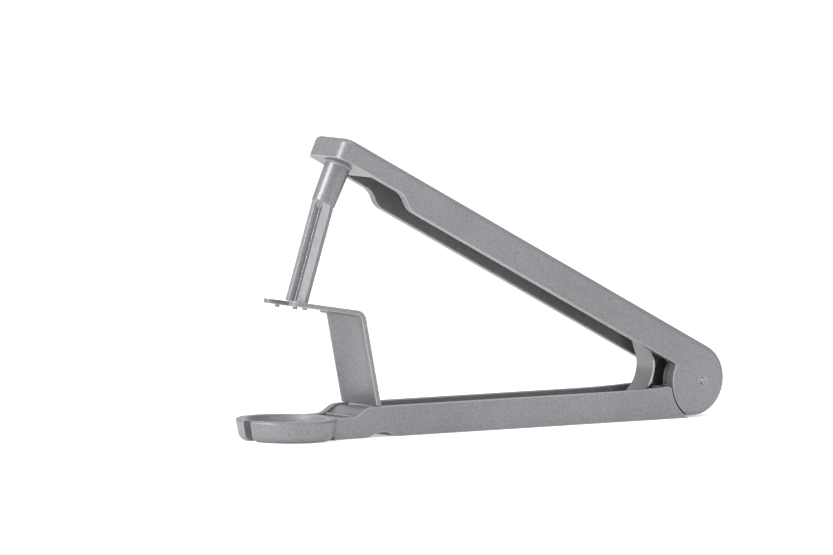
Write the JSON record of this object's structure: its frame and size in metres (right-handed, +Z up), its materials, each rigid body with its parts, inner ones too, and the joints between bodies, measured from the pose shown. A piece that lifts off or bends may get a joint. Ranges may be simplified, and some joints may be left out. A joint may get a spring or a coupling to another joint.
{
  "type": "cherry pitter with lever",
  "caption": "Hand cherry pitter: a sprung cast lever drives a cross-finned plunger through a forked plate into an open cup.",
  "frame": {"origin": "centre of the bounding box's bottom face, on the table", "axes": "+X along both arms from the cup to the hinge, +Y across the arms, +Z up; the picture looks from the -Y side"},
  "size_m": [0.1667, 0.0284, 0.0837],
  "materials": {
    "cast_body": "satin coated die casting",
    "pin_steel": "bright",
    "spring_steel": "bright"
  },
  "bodies": {
    "base": {"lower_arm": "cast_body", "hold_down_bracket": "cast_body", "bracket_screw": "pin_steel", "hinge_pin": "pin_steel", "leaf_spring": "spring_steel"},
    "lever": {"upper_lever": "cast_body", "plunger": "cast_body"}
  },
  "joints": [
    {"name": "lever_hinge", "type": "hinge", "parent": "base", "child": "lever", "pos_m": [0.07523, 0, 0.0104], "axis": [0, -1, 0], "range_deg": [0, 15.2], "stiffness_Nm_per_rad": 2.5, "springref_deg": -5.73, "deforming": ["leaf_spring"]}
  ]
}
